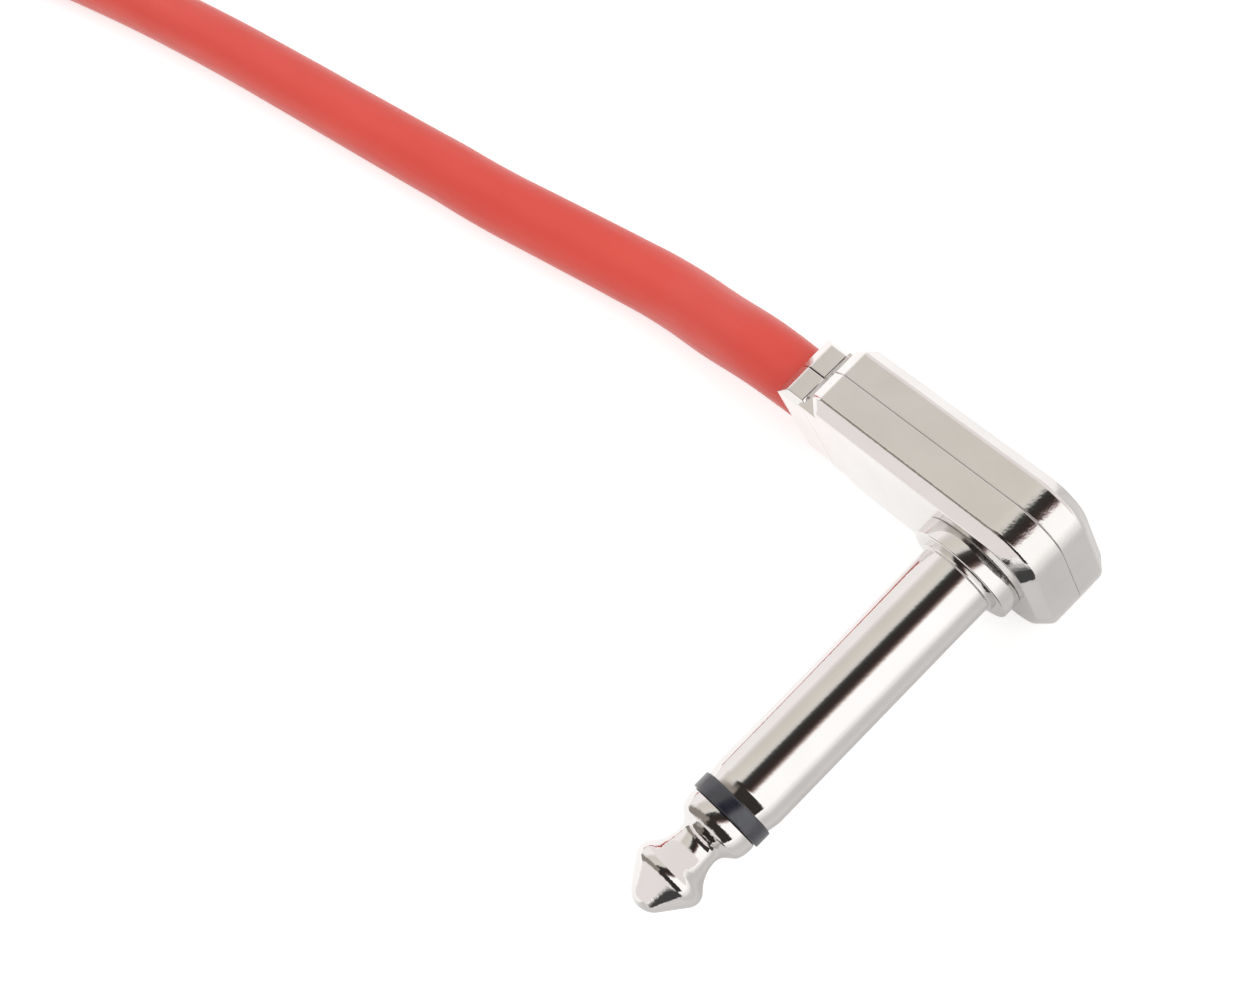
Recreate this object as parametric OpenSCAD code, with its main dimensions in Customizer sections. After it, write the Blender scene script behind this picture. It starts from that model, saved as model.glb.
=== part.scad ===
// Instrument patch cable: a round cable with a flat right-angle jack plug at each end.
//
// Each plug is drawn once, in its own frame: +X runs out along the cable, +Y out along
// the shaft to the tip, and the shaft's axis lies in z = 0. y = 0 is the face of the
// housing that the shaft stands on. near_plug() and far_plug() lay it on the table z = 0.

/* [Housing] */
// From the shaft's axis to the housing's round end
end_reach = 6.5; // [6:0.1:9]
// From the shaft's axis to the cable side of the housing, where the groove starts
body_reach = 16.6; // [14:0.1:22]
// Width across the two long sides
body_w = 13.8; // [12.5:0.1:18]
// Thickness from the plug-side face to the back
body_t = 7; // [6.8:0.1:9]
// Radius of the two corners at the round end
corner_r = 4; // [3.6:0.1:5]
// Chamfer round both big faces
face_chamfer = 1; // [0.4:0.1:1.2]
// Bevel on the two corners at the cable side, measured along the cable
cable_bevel = 1.3; // [0.6:0.1:1.6]
// The same bevel, measured across the housing
cable_bevel_in = 0.9; // [0.4:0.1:1.6]
// From the plug-side face to the line where the two halves part
seam_depth = 3.6; // [3.5:0.1:4]
// Wall thickness
wall = 1.2; // [0.8:0.1:1.2]

/* [Cable clamp] */
// Width of the clamp
clamp_w = 10.4; // [9:0.1:12]
// Thickness of the clamp, flush with the plug-side face
clamp_t = 5.8; // [5.6:0.1:6.2]
// Length of the clamp along the cable
clamp_l = 3.2; // [2.6:0.1:5]
// Bevel on the clamp's outer corners, measured along the cable
clamp_bevel = 1.2; // [0.4:0.1:1.4]
// The same bevel, measured across the clamp
clamp_bevel_in = 1; // [0.4:0.1:1.4]
// Depth of the chamfer along the clamp's long edges
clamp_chamfer = 0.45; // [0.1:0.05:0.6]
// Width of that chamfer on the clamp's big faces
clamp_inset = 0.75; // [0.1:0.05:1]
// Width of the groove between housing and clamp
groove_w = 0.6; // [0.4:0.1:1.5]
// Width of the neck at the bottom of the groove
neck_w = 9.6; // [6:0.1:9.8]

/* [Shaft] */
// Diameter of a 1/4 inch jack plug
shaft_d = 6.35; // [6.2:0.01:6.4]
// From the plug-side face to the end of the metal sleeve
sleeve_reach = 25.1; // [20:0.1:28]
// Length of the slight taper at the sleeve's end
taper_l = 1.1; // [0.5:0.1:2]
// Diameter at the end of the taper
taper_d = 6; // [5.6:0.1:6.2]
// Length of the black ring between sleeve and tip
ring_l = 1.4; // [0.8:0.1:2]
// Diameter of the black ring, a touch proud of the sleeve
ring_d = 6.4; // [6.35:0.01:6.5]
// Diameter of the rod that carries the tip
rod_d = 2.4; // [2:0.1:2.6]
// Diameter of the sleeve's root, which passes through collar and wall
root_d = 6.9; // [6.7:0.1:7.4]
// How far the root's lip stands above the collar
lip_h = 0.35; // [0.2:0.05:0.6]

/* [Collar] */
// Diameter of the collar
collar_d = 9; // [8:0.1:10]
// Height of the collar
collar_h = 1.6; // [1:0.1:2.4]

/* [Cable] */
// Diameter of the cable
cord_d = 6; // [5.5:0.1:6.2]
// Diameter of the cable where it leaves the clamp
squeezed_d = 5.5; // [5.2:0.1:5.6]
// Diameter of the jacket inside the clamp
clamped_d = 4.9; // [4.4:0.1:5]

/* [Hidden] */
$fn = 96;
seam_bevel = 0.1; // on both halves, so that the joint shows as a fine groove
neck_inset = 0.2; // from the clamp's big faces down to the neck
groove_chamfer = 0.3; // on the clamp's edges beside the groove

clamp_reach = body_reach + groove_w + clamp_l;
clamp_start = body_reach + groove_w;
cable_y = -clamp_t / 2; // the cable's axis, which is also where the clamp parts
half_w = body_w / 2;
corner_x = corner_r - end_reach;
inside_y = -wall;
floor_y = wall - body_t;
cavity_end = body_reach - 1.4;
overlap = 0.5; // how far blocks of one casting run into each other

// Pins and their bosses, in the four corners of the cavity
pin_r = 0.5;
pin_l = 1.5;
boss_r = 1;
boss_reach = [-4.1, cavity_end - boss_r / 2];
boss_side = 4.9;

// Ribs that bite into the jacket
rib_w = 0.4;
rib_h = 0.3;
rib_x = [clamp_start + 0.9, clamp_start + 2];

// Stack behind the shaft, from the wall into the cavity
lug_t = 0.4;
flange_t = 0.8;
flange_r = 3.9; // the sleeve's end, spread over the tag
lug_ring_r = 4.6;
rear_washer_t = 0.9;
rear_washer_r = 4.2;
ground_lug_y = inside_y - lug_t;
flange_y = ground_lug_y - flange_t;
washer_y = flange_y - rear_washer_t;
tip_lug_y = washer_y - lug_t;
rivet_h = 0.7;
rivet_r = 2;
tube_r = 1.9;

// Cable inside the plug
jacket_start = 15;
braid_start = 14.2;
core_start = 11.5;
wire_start = 5.6;
braid_r = 1.75;
core_r = 1.2;
wire_r = 0.35;
pigtail_r = 0.35;
pigtail_y = ground_lug_y - pigtail_r - 0.05;
pigtail_side = 2.3;
tip_joint_x = 7.3;
ground_joint_x = 9.4;
sheet_t = 0.3;

// Tip: radii and places along it, measured from the front of the black ring
tip_r = 3.02; // the barrel behind the neck
barrel_r = 2.5; // the arc of the barrel's bulge, and of the edge in front of it
edge_r = 0.35;
edge_turn = 25;
neck_r = 1.784;
neck_y = 2.916; // where the neck is thinnest
ridge = [1.85, 5.85]; // centre of the arc that rounds the tip's widest place
ridge_r = 1.15;
cone_turn = 36.87; // slope 3:4
tip_start = sleeve_reach + ring_l;
nose_r = 1.7;

// Where the plugs lie: the near one's box is centred on the origin, and the far one is
// the same plug turned half round about a point on the X axis
tip_reach = tip_start + ridge.y + 0.6 * ridge_r + (ridge.x + 0.8 * ridge_r - 0.5 * nose_r) / 0.75;
plug_mid_x = (clamp_reach - end_reach) / 2;
plug_mid_y = (tip_reach - body_t) / 2;
turn_x = 141.5;
cable_side = plug_mid_y - cable_y;
cord_start = clamp_reach - plug_mid_x;
cord_end = 2 * turn_x - cord_start;

// Route of the free cable: straight out of the clamp, down to the table and along it
low = cord_d / 2;
route = [
  [cord_start, -cable_side, half_w],
  [20, -cable_side, 6.6],
  [26.5, -cable_side, 4.9],
  [31.5, -17.3, 3.7],
  [35.5, -17.1, 3.2],
  [39.5, -16.6, low],
  [43, -16.1, low],
  [47, -15.5, low],
  [51, -14.9, low],
  [55, -14.3, low],
  [59, -13.8, low],
  [63, -13.4, low],
  [68, -12.8, low],
  [74, -12.1, low],
  [80, -11.4, low],
  [87, -10.6, low],
  [100, -9, low],
  [115, -6.7, low],
  [130, -3.8, low],
  [145, -0.4, low],
  [160, 3.1, low],
  [175, 6.6, low],
  [190, 9.8, low],
  [205, 12.6, low],
  [220, 14.9, low],
  [234, 16.5, low],
  [243, 17.2, low],
  [247.5, 17.3, 3.2],
  [251.5, 17.3, 3.7],
  [256.5, cable_side, 4.9],
  [263, cable_side, 6.6],
  [cord_end, cable_side, half_w]
];
cord_sides = 12;
cord_steps = 2; // rings from one point of the route to the next
squeeze_l = 18; // the jacket is back to its full size this far from a clamp

// ---------------------------------------------------------------- helpers

// Points of an arc round a centre
function arc(centre, r, from, to, n = 8) =
  [for (i = [0 : n]) centre + r * [cos(from + (to - from) * i / n), sin(from + (to - from) * i / n)]];

module near_plug() {
  translate([-plug_mid_x, -plug_mid_y, half_w]) children();
}

module far_plug() {
  translate([2 * turn_x + plug_mid_x, plug_mid_y, half_w]) rotate([0, 0, 180]) children();
}

// Turns a shape that stands on +Z so that it runs along the shaft
module along_shaft() {
  rotate([-90, 0, 0]) children();
}

// Turns a shape that stands on +Z so that it runs along the cable
module along_cable() {
  rotate([0, 90, 0]) children();
}

// A round bar on the cable's axis
module cable_rod(from, to, r) {
  translate([from, cable_y, 0]) along_cable() cylinder(h = to - from, r = r);
}

// A straight round wire from one point to another
module wire(from, to, r) {
  step = to - from;
  translate(from)
    rotate([0, acos(step.z / norm(step)), atan2(step.y, step.x)])
      cylinder(h = norm(step), r = r);
}

// ---------------------------------------------------------------- housing

// Section of a casting half: outer chamfer on the face y = 0, fine bevel at the seam
function half_section(half_width, t, c, inset) = [
  [-half_width + inset, 0], [half_width - inset, 0], [half_width, -c],
  [half_width, -t + seam_bevel], [half_width - seam_bevel, -t],
  [-half_width + seam_bevel, -t], [-half_width, -t + seam_bevel], [-half_width, -c]
];

// Cuts the two corners of a block that ends at x = at, by along on its sides and across
// on its end. A negative along cuts the end that faces the shaft
module corner_cuts(at, side, along, across) {
  past = at + sign(along);
  for (m = [0, 1]) mirror([0, 0, m]) rotate([90, 0, 0]) linear_extrude(3 * body_t, center = true)
    polygon([[at - along, side], [at, side - across], [past, side - across], [past, side + 1],
      [at - along, side + 1]]);
}

// Outer form of one half, from the face y = 0 down to the seam at y = -t
module half_body(t) {
  difference() {
    union() {
      translate([corner_x, 0, 0]) along_cable()
        linear_extrude(body_reach - corner_x) polygon(half_section(half_w, t, face_chamfer, face_chamfer));
      for (side = [-1, 1])
        translate([corner_x, 0, side * (half_w - corner_r)]) along_shaft()
          rotate_extrude() polygon([
            [0, 0], [corner_r - face_chamfer, 0], [corner_r, -face_chamfer],
            [corner_r, -t + seam_bevel], [corner_r - seam_bevel, -t], [0, -t]
          ]);
      linear_extrude(body_w - 2 * corner_r, center = true) polygon([
        [overlap + corner_x, 0], [face_chamfer - end_reach, 0], [-end_reach, -face_chamfer],
        [-end_reach, -t + seam_bevel], [seam_bevel - end_reach, -t], [overlap + corner_x, -t]
      ]);
    }
    corner_cuts(body_reach, half_w, cable_bevel, cable_bevel_in);
    translate([body_reach, 0, 0]) rotate([0, 0, 45])
      cube([face_chamfer / sqrt(2), face_chamfer / sqrt(2), 2 * body_w], center = true);
  }
}

// Outer form of one half of the clamp, from the face y = 0 down to y = -t
module half_clamp(t) {
  difference() {
    translate([clamp_start, 0, 0]) along_cable()
      linear_extrude(clamp_l) polygon(half_section(clamp_w / 2, t, clamp_chamfer, clamp_inset));
    corner_cuts(clamp_reach, clamp_w / 2, clamp_bevel, clamp_bevel_in);
    corner_cuts(clamp_start, clamp_w / 2, -groove_chamfer, groove_chamfer);
  }
}

// Block of the neck between two places along the cable, and between two depths
module neck(from, to, near_y, far_y) {
  translate([from, far_y, -neck_w / 2]) cube([to - from, near_y - far_y, neck_w]);
}

// The pin places
module at_pins() {
  for (x = boss_reach, side = [-1, 1])
    translate([x, 0, side * boss_side]) along_shaft() children();
}

// Hollow inside a half, between two depths, round the four bosses
module cavity(near_y, far_y) {
  depth = near_y - far_y;
  inner_r = corner_r - wall;
  difference() {
    union() {
      translate([corner_x, far_y, wall - half_w])
        cube([cavity_end - corner_x, depth, body_w - 2 * wall]);
      translate([wall - end_reach, far_y, corner_r - half_w])
        cube([inner_r + overlap, depth, body_w - 2 * corner_r]);
      for (side = [-1, 1])
        translate([corner_x, far_y, side * (half_w - corner_r)]) along_shaft()
          cylinder(h = depth, r = inner_r);
    }
    at_pins() translate([0, 0, far_y - 1]) cylinder(h = depth + 2, r = boss_r);
  }
}

// The way for the cable, narrower at the ribs
module cable_way() {
  stops = [cavity_end - overlap, rib_x[0], rib_x[1], clamp_reach + overlap];
  for (i = [0 : 2]) {
    from = stops[i] + (i > 0 ? rib_w : 0);
    cable_rod(from, stops[i + 1], clamped_d / 2);
  }
  cable_rod(cavity_end, clamp_reach, clamped_d / 2 - rib_h);
}

module front_shell() {
  color("silver") difference() {
    union() {
      half_body(seam_depth);
      half_clamp(clamp_t / 2);
      neck(body_reach - overlap, clamp_start + overlap, -neck_inset, cable_y);
    }
    cavity(inside_y, -seam_depth - 1);
    translate([0, inside_y - 1, 0]) along_shaft() cylinder(h = wall + 2, d = root_d);
    at_pins() translate([0, 0, -seam_depth - 1]) cylinder(h = pin_l + 1, r = pin_r);
    cable_way();
  }
}

module rear_shell() {
  color("silver") difference() {
    union() {
      translate([0, -body_t, 0]) mirror([0, 1, 0]) half_body(body_t - seam_depth);
      translate([0, -clamp_t, 0]) mirror([0, 1, 0]) half_clamp(clamp_t / 2);
      neck(body_reach, clamp_start + overlap, cable_y, neck_inset - clamp_t);
      neck(body_reach - overlap, body_reach + overlap / 2, -seam_depth, neck_inset - clamp_t);
      at_pins() translate([0, 0, -seam_depth - overlap]) cylinder(h = pin_l + overlap, r = pin_r);
    }
    cavity(1 - seam_depth, floor_y);
    cable_way();
  }
}

module plug_collar() {
  collar_r = collar_d / 2;
  color("gainsboro") along_shaft() rotate_extrude() polygon([
    [root_d / 2, 0], [collar_r - 0.15, 0], [collar_r, 0.15], [collar_r, collar_h - 0.2],
    [collar_r - 0.2, collar_h], [root_d / 2, collar_h]
  ]);
}

// ---------------------------------------------------------------- shaft

module plug_sleeve() {
  color("gainsboro") along_shaft() rotate_extrude() polygon([
    [tube_r, flange_y], [flange_r, flange_y], [flange_r, ground_lug_y],
    [root_d / 2, ground_lug_y], [root_d / 2, collar_h + lip_h], [shaft_d / 2, collar_h + lip_h],
    [shaft_d / 2, sleeve_reach - taper_l], [taper_d / 2, sleeve_reach], [tube_r, sleeve_reach]
  ]);
}

module insulator_ring() {
  color([0.1, 0.1, 0.13]) translate([0, sleeve_reach, 0]) along_shaft() difference() {
    cylinder(h = ring_l, d = ring_d);
    translate([0, 0, -1]) cylinder(h = ring_l + 2, d = rod_d);
  }
}

module rod_insulator() {
  color("ivory") translate([0, flange_y, 0]) along_shaft() difference() {
    cylinder(h = sleeve_reach - flange_y, r = tube_r);
    translate([0, 0, -1]) cylinder(h = sleeve_reach - flange_y + 2, d = rod_d);
  }
}

// Barrel, neck, ridge, cone and nose in one line, with the rod and its riveted head behind
module tip_contact() {
  barrel = [tip_r - barrel_r, 0.5];
  edge = barrel + (barrel_r - edge_r) * [cos(edge_turn), sin(edge_turn)];
  outline = concat(
    [[0, 0], [tip_r - 0.16, 0]],
    arc(barrel, barrel_r, -9, edge_turn, 6),
    arc(edge, edge_r, edge_turn + 8, 50, 3),
    arc([neck_r + 1, neck_y], 1, 230, 180, 7),
    arc([neck_r + 3, neck_y], 3, 175, 137, 7),
    arc(ridge, ridge_r, -42, cone_turn, 10),
    arc([0, tip_reach - tip_start - nose_r], nose_r, cone_turn, 90, 6)
  );
  color("gainsboro") along_shaft() {
    translate([0, 0, tip_start]) rotate_extrude() polygon(outline);
    translate([0, 0, tip_lug_y]) cylinder(h = tip_start + overlap - tip_lug_y, d = rod_d);
    translate([0, 0, tip_lug_y - rivet_h]) rotate_extrude()
      polygon([[0, 0], [rivet_r - 0.8, 0], [rivet_r, 0.5], [rivet_r, rivet_h], [0, rivet_h]]);
  }
}

module rear_washer() {
  color("saddlebrown") translate([0, washer_y, 0]) along_shaft() difference() {
    cylinder(h = rear_washer_t, r = rear_washer_r);
    translate([0, 0, -1]) cylinder(h = rear_washer_t + 2, d = rod_d);
  }
}

// ---------------------------------------------------------------- inside the housing

// A flat solder tag: a ring with a tail towards the cable
module lug(y, ring_r, hole_r, tail_end, tail_from, tail_to) {
  translate([0, y, 0]) difference() {
    union() {
      along_shaft() cylinder(h = lug_t, r = ring_r);
      translate([ring_r - 1.5, 0, tail_from]) cube([tail_end - ring_r + 1.5, lug_t, tail_to - tail_from]);
    }
    translate([0, -1, 0]) along_shaft() cylinder(h = lug_t + 2, r = hole_r);
  }
}

module tip_lug() {
  color("gold") lug(tip_lug_y, 2.4, rod_d / 2, 9.4, -1.1, 1.1);
}

module ground_lug() {
  color("gold") lug(ground_lug_y, lug_ring_r, root_d / 2, 11, 1.2, 3.4);
}

module cable_end() {
  color([0.85, 0.33, 0.29]) difference() {
    cable_rod(jacket_start, clamp_reach, clamped_d / 2);
    cable_rod(jacket_start - 1, clamp_reach + 1, braid_r);
    for (x = rib_x) difference() {
      cable_rod(x, x + rib_w, clamped_d / 2 + 1);
      cable_rod(x - 1, x + rib_w + 1, clamped_d / 2 - rib_h);
    }
  }
}

module core_insulation() {
  color("white") difference() {
    cable_rod(core_start, clamp_reach, core_r);
    cable_rod(core_start - 1, clamp_reach + 1, wire_r);
  }
}

module core_wire() {
  color("peru") cable_rod(wire_start, clamp_reach, wire_r);
}

module shield_pigtail() {
  color("peru") difference() {
    union() {
      cable_rod(braid_start, clamp_reach, braid_r);
      wire([8.2, pigtail_y, pigtail_side], [12.4, pigtail_y, pigtail_side], pigtail_r);
      wire([12, pigtail_y, pigtail_side], [15, -2.3, 1.2], pigtail_r - 0.03);
    }
    cable_rod(core_start - 1, clamp_reach + 1, core_r);
  }
}

// A drop of solder on a tag, round the wire that runs through it
module solder_drop(x, y, side, turn) {
  translate([x, y, side]) rotate([turn, 0, 0]) rotate([0, 0, 30]) rotate_extrude()
    polygon([[0, 0], [1.05, 0], [1, 0.6], [0.7, 1.05], [0, 1.3]]);
}

module tip_solder() {
  color("lightgray") difference() {
    solder_drop(tip_joint_x, tip_lug_y + lug_t, 0, -90);
    cable_rod(wire_start - 1, core_start, wire_r);
  }
}

module ground_solder() {
  color("lightgray") difference() {
    solder_drop(ground_joint_x, ground_lug_y, pigtail_side, 90);
    wire([8, pigtail_y, pigtail_side], [11, pigtail_y, pigtail_side], pigtail_r);
  }
}

module insulating_sheet() {
  color("khaki") translate([-3, floor_y, -4.9]) cube([15.4, sheet_t, 9.8]);
}

// ---------------------------------------------------------------- free cable

// Direction of the route at each point, and a smooth curve from point to point
function heading(i) =
  let (a = route[max(i - 1, 0)], b = route[min(i + 1, len(route) - 1)], d = b - a)
  i == 0 || i == len(route) - 1 ? [1, 0, 0] : d / norm(d);
function on_curve(i, t) =
  let (
    p = route[i], q = route[i + 1], reach = norm(q - p),
    place = (2 * t ^ 3 - 3 * t ^ 2 + 1) * p + (t ^ 3 - 2 * t ^ 2 + t) * reach * heading(i)
      + (3 * t ^ 2 - 2 * t ^ 3) * q + (t ^ 3 - t ^ 2) * reach * heading(i + 1)
  )
  [place.x, place.y, max(place.z, low)];
centres = concat(
  [for (i = [0 : len(route) - 2], k = [0 : cord_steps - 1]) on_curve(i, k / cord_steps)],
  [route[len(route) - 1]]
);
function travelled(i) = i == 0 ? 0 : travelled(i - 1) + norm(centres[i] - centres[i - 1]);
cord_l = travelled(len(centres) - 1);

// The jacket swells from its squeezed size at a clamp to its full size
function cord_r(s) =
  let (near = min(s, cord_l - s, squeeze_l) / squeeze_l)
  squeezed_d / 2 + (cord_d - squeezed_d) / 2 * near * (2 - near);

// Ring of points square to the route
function ring(i) =
  let (
    a = centres[max(i - 1, 0)], b = centres[min(i + 1, len(centres) - 1)],
    ends = i == 0 || i == len(centres) - 1,
    ahead = ends ? [1, 0, 0] : (b - a) / norm(b - a),
    aside = cross([0, 0, 1], ahead) / norm(cross([0, 0, 1], ahead)),
    up = cross(ahead, aside)
  )
  [for (k = [0 : cord_sides - 1])
    let (turn = k * 360 / cord_sides)
    centres[i] + cord_r(travelled(i)) * (cos(turn) * aside + sin(turn) * up)];

module cord() {
  count = len(centres);
  sides = cord_sides;
  color([0.85, 0.33, 0.29]) polyhedron(
    points = [for (i = [0 : count - 1]) each ring(i)],
    faces = concat(
      [[for (k = [0 : sides - 1]) k]],
      [for (i = [0 : count - 2], k = [0 : sides - 1])
        let (n = (k + 1) % sides, a = i * sides)
        [a + k, a + sides + k, a + sides + n, a + n]],
      [[for (k = [sides - 1 : -1 : 0]) (count - 1) * sides + k]]
    )
  );
}

echo(cord_length = cord_l, plug_mid_x = plug_mid_x, plug_mid_y = plug_mid_y, cord_start = cord_start,
  cord_end = cord_end, cable_side = cable_side, tip_reach = tip_reach);

near_plug() front_shell();
near_plug() rear_shell();
near_plug() plug_collar();
near_plug() plug_sleeve();
near_plug() insulator_ring();
near_plug() rod_insulator();
near_plug() tip_contact();
near_plug() rear_washer();
near_plug() tip_lug();
near_plug() ground_lug();
near_plug() cable_end();
near_plug() core_insulation();
near_plug() core_wire();
near_plug() shield_pigtail();
near_plug() tip_solder();
near_plug() ground_solder();
near_plug() insulating_sheet();
cord();
far_plug() front_shell();  // far_front_shell
far_plug() rear_shell();  // far_rear_shell
far_plug() plug_collar();  // far_plug_collar
far_plug() plug_sleeve();  // far_plug_sleeve
far_plug() insulator_ring();  // far_insulator_ring
far_plug() rod_insulator();  // far_rod_insulator
far_plug() tip_contact();  // far_tip_contact
far_plug() rear_washer();  // far_rear_washer
far_plug() tip_lug();  // far_tip_lug
far_plug() ground_lug();  // far_ground_lug
far_plug() cable_end();  // far_cable_end
far_plug() core_insulation();  // far_core_insulation
far_plug() core_wire();  // far_core_wire
far_plug() shield_pigtail();  // far_shield_pigtail
far_plug() tip_solder();  // far_tip_solder
far_plug() ground_solder();  // far_ground_solder
far_plug() insulating_sheet();  // far_insulating_sheet
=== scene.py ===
import math
import bmesh
import bpy
from mathutils import Matrix, Vector


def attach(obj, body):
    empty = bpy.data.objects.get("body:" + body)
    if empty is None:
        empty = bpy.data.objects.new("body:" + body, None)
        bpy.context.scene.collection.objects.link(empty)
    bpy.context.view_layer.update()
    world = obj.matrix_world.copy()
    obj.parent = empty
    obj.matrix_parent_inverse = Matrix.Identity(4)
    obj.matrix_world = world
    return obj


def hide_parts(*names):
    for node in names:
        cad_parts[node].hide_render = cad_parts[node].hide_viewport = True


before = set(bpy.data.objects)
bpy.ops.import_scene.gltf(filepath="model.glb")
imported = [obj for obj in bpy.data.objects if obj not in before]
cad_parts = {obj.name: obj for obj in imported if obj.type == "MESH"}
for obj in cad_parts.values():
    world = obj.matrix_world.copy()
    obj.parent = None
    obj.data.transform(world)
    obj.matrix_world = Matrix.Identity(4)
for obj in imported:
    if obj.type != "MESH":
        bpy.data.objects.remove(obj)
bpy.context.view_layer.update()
bpy.ops.object.select_all(action="DESELECT")


# ---- Camera
# A long lens close above the near plug, with the shaft running down to the left
# and the cable going away to the upper left.
camera_data = bpy.data.cameras.new("camera")
camera_data.sensor_width = 36
camera_data.lens = 59.92
camera_data.clip_start = 0.005
camera = bpy.data.objects.new("camera", camera_data)
bpy.context.scene.collection.objects.link(camera)
to_the_right = (-0.61742, -0.70328, -0.35239)
upwards = (0.53943, -0.70459, 0.46105)
backwards = (-0.57254, 0.09457, 0.81440)
camera.matrix_world = Matrix.LocRotScale(
    Vector((-0.07761, 0.01503, 0.14502)),
    Matrix((to_the_right, upwards, backwards)).transposed(),
    None,
)
bpy.context.scene.camera = camera


# ---- Free cable
# One 260 mm stretch of round 6 mm cable with a soft PVC jacket. Each clamp squeezes it
# to 5.5 mm, and the jacket bulges a little where it comes out of the clamp's mouth.
CABLE_R = 0.003
SQUEEZED_R = 0.00275
SWELL_L = 0.018
MOUTH_L = 0.0005
MOUTH_DIP = 0.0003
MOUTH_STEPS = 6
RING_SIDES = 48
RING_STEPS = 8
JACKET_DARK = (0.80, 0.078, 0.056)
JACKET_LIGHT = (0.86, 0.092, 0.066)
JACKET_ROUGHNESS = (0.42, 0.54)
JACKET_GRAIN = 5200
JACKET_GRAIN_RELIEF = (0.25, 0.000012)

cable_points = [
    (13.45, -17.2, 6.9), (20, -17.2, 6.6), (26.5, -17.2, 4.9), (31.5, -17.3, 3.7),
    (35.5, -17.1, 3.2), (39.5, -16.6, 3), (43, -16.1, 3), (47, -15.5, 3),
    (51, -14.9, 3), (55, -14.3, 3), (59, -13.8, 3), (63, -13.4, 3),
    (68, -12.8, 3), (74, -12.1, 3), (80, -11.4, 3), (87, -10.6, 3),
    (100, -9, 3), (115, -6.7, 3), (130, -3.8, 3), (145, -0.4, 3),
    (160, 3.1, 3), (175, 6.6, 3), (190, 9.8, 3), (205, 12.6, 3),
    (220, 14.9, 3), (234, 16.5, 3), (243, 17.2, 3), (247.5, 17.3, 3.2),
    (251.5, 17.3, 3.7), (256.5, 17.2, 4.9), (263, 17.2, 6.6), (269.55, 17.2, 6.9),
]
cable_points = [Vector(p) / 1000 for p in cable_points]


def cable_heading(i):
    """Direction of the cable at a point: square to the clamps at both ends."""
    if i in (0, len(cable_points) - 1):
        return Vector((1, 0, 0))
    return (cable_points[i + 1] - cable_points[i - 1]).normalized()


def cable_line():
    """A smooth curve through the points, never below the table."""
    line = []
    for i in range(len(cable_points) - 1):
        a, b = cable_points[i], cable_points[i + 1]
        reach = (b - a).length
        for k in range(RING_STEPS):
            t = k / RING_STEPS
            place = (
                (2 * t**3 - 3 * t**2 + 1) * a
                + (t**3 - 2 * t**2 + t) * reach * cable_heading(i)
                + (3 * t**2 - 2 * t**3) * b
                + (t**3 - t**2) * reach * cable_heading(i + 1)
            )
            place.z = max(place.z, CABLE_R)
            line.append(place)
    return line + [cable_points[-1]]


def jacket_radius(s, length):
    """Squeezed at the clamps, full a little way out, with a rounded lip at each mouth."""
    near = min(s, length - s)
    t = min(near / SWELL_L, 1)
    swell = SQUEEZED_R + (CABLE_R - SQUEEZED_R) * t * (2 - t)
    if near < MOUTH_L:
        swell -= MOUTH_DIP * (1 - near / MOUTH_L) ** 2
    return swell


def make_cable():
    """The tube, with distances in metres round and along it as its UV map."""
    line = cable_line()
    mouth = [MOUTH_L * k / MOUTH_STEPS for k in range(1, MOUTH_STEPS)]
    line = [
        line[0], *(line[0] + Vector((m, 0, 0)) for m in mouth), *line[1:-1],
        *(line[-1] - Vector((m, 0, 0)) for m in reversed(mouth)), line[-1],
    ]
    travelled = [0]
    for a, b in zip(line, line[1:]):
        travelled.append(travelled[-1] + (b - a).length)
    mesh = bpy.data.meshes.new("cord")
    shape = bmesh.new()
    along = shape.loops.layers.uv.new("around_and_along")
    rings = []
    for i, centre in enumerate(line):
        ahead = (line[min(i + 1, len(line) - 1)] - line[max(i - 1, 0)]).normalized()
        if i in (0, len(line) - 1):
            ahead = Vector((1, 0, 0))
        aside = Vector((0, 0, 1)).cross(ahead).normalized()
        up = ahead.cross(aside)
        r = jacket_radius(travelled[i], travelled[-1])
        rings.append([
            shape.verts.new(centre + r * (math.cos(a) * aside + math.sin(a) * up))
            for a in (math.tau * k / RING_SIDES for k in range(RING_SIDES))
        ])
    for i in range(len(rings) - 1):
        for k in range(RING_SIDES):
            n = (k + 1) % RING_SIDES
            face = shape.faces.new((rings[i][k], rings[i][n], rings[i + 1][n], rings[i + 1][k]))
            face.smooth = True
            corners = ((k, i), (k + 1, i), (k + 1, i + 1), (k, i + 1))
            for loop, (turn, place) in zip(face.loops, corners):
                loop[along].uv = (turn / RING_SIDES * math.tau * CABLE_R, travelled[place])
    shape.faces.new(list(reversed(rings[0])))
    shape.faces.new(rings[-1])
    bmesh.ops.recalc_face_normals(shape, faces=shape.faces)
    shape.to_mesh(mesh)
    shape.free()
    cable = bpy.data.objects.new("free_cable", mesh)
    bpy.context.scene.collection.objects.link(cable)
    return cable, line


def new_finish(name):
    """A material, with its nodes, its links and its main shader."""
    finish = bpy.data.materials.new(name)
    finish.use_nodes = True
    tree = finish.node_tree
    return finish, tree.nodes, tree.links, tree.nodes["Principled BSDF"]


def scaled_place(nodes, links, source, scale):
    """The place on the piece, multiplied by scale, as a vector for a texture."""
    place = nodes.new("ShaderNodeTexCoord")
    mapping = nodes.new("ShaderNodeMapping")
    mapping.inputs["Scale"].default_value = scale
    links.new(place.outputs[source], mapping.inputs["Vector"])
    return mapping.outputs["Vector"]


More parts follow.
